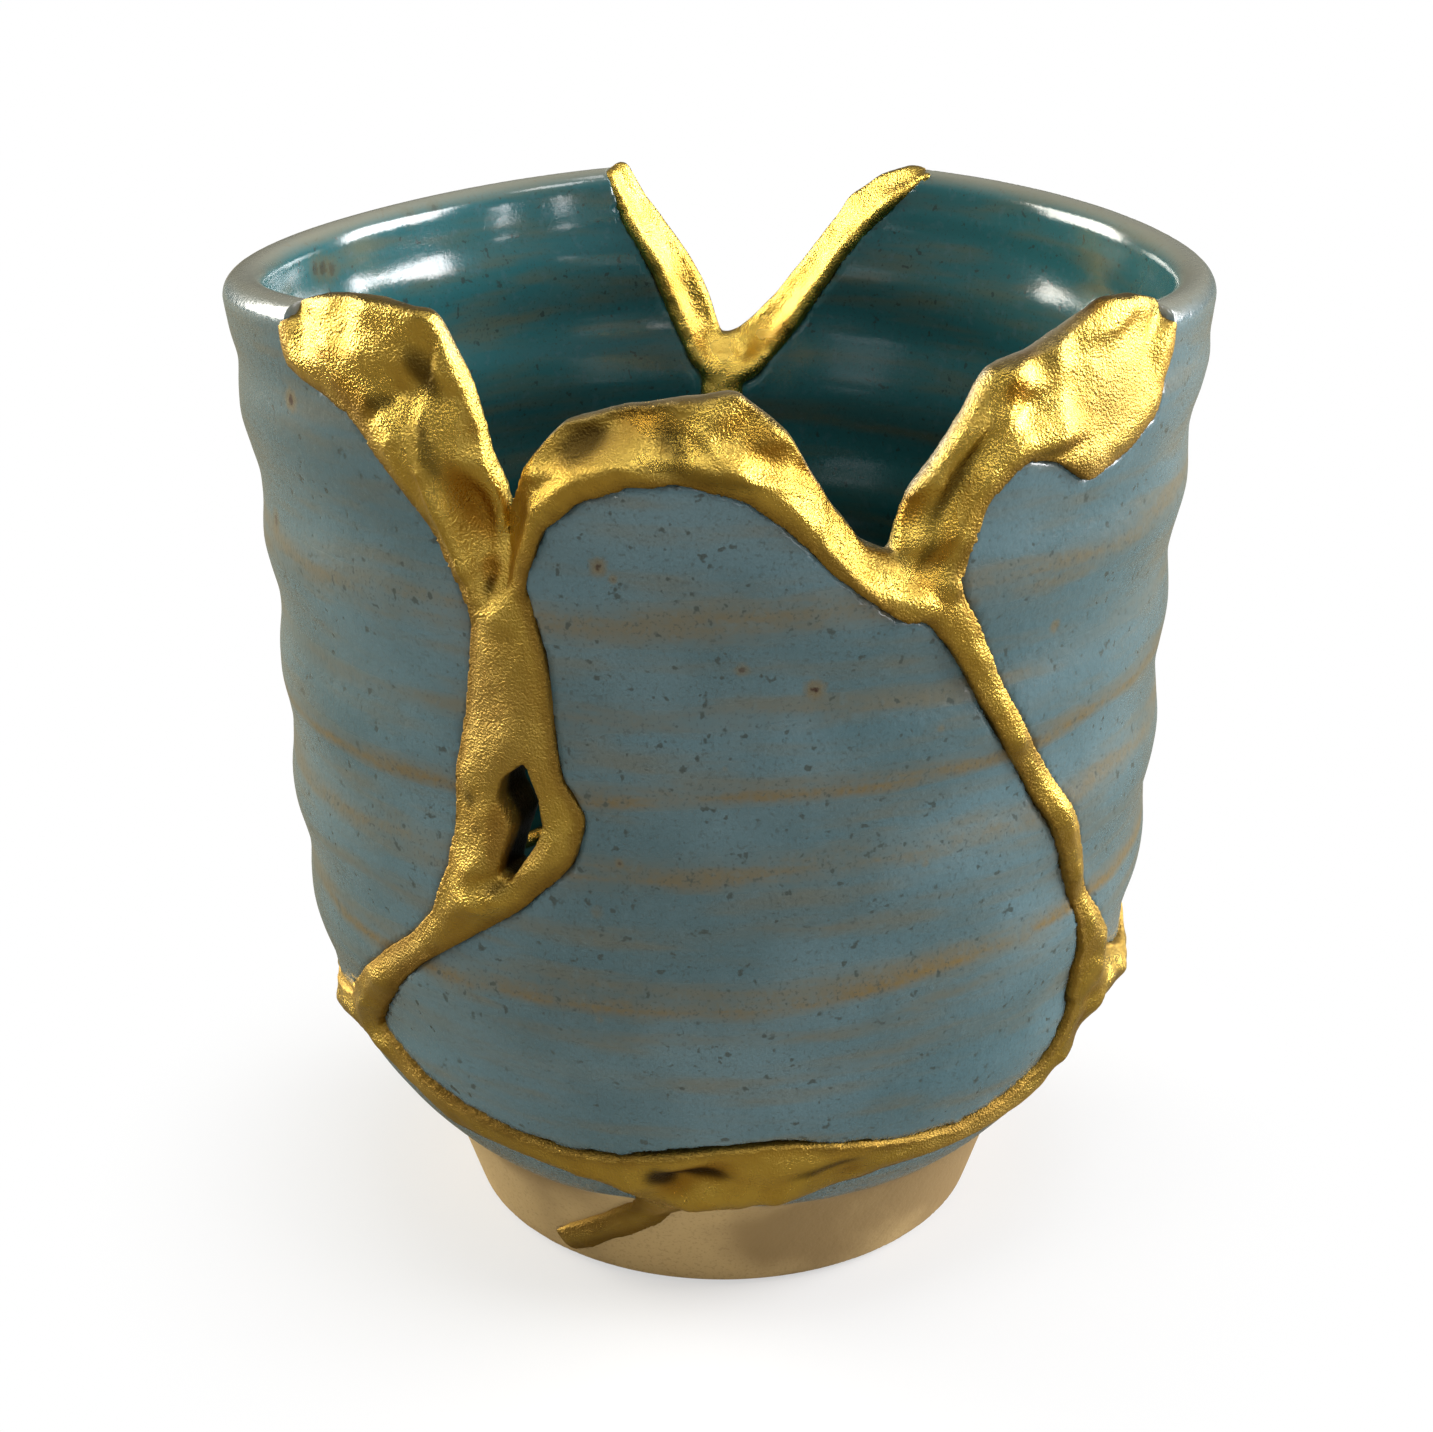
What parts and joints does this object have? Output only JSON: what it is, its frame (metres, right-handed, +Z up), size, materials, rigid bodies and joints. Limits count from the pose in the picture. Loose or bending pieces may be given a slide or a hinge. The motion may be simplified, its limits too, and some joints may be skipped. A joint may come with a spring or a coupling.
{
  "type": "kintsugi mug",
  "caption": "Handleless stoneware mug with a turned foot, broken into shards, missing parts of its rim, and mended with broad seams of gold lacquer.",
  "frame": {"origin": "centre of the foot ring's underside, on the surface that the mug stands on", "axes": "+Z up, -Y towards the front, where the front shard's arch stands between the two notches, +X to its right"},
  "size_m": [0.0842, 0.0836, 0.0914],
  "materials": {
    "glazed_stoneware": "glossy",
    "gold_lacquer": "burnished"
  },
  "bodies": {
    "root": {"base_shard": "glazed_stoneware", "left_shard": "glazed_stoneware", "front_shard": "glazed_stoneware", "right_shard": "glazed_stoneware", "gold_lacquer": "gold_lacquer"}
  },
  "joints": []
}
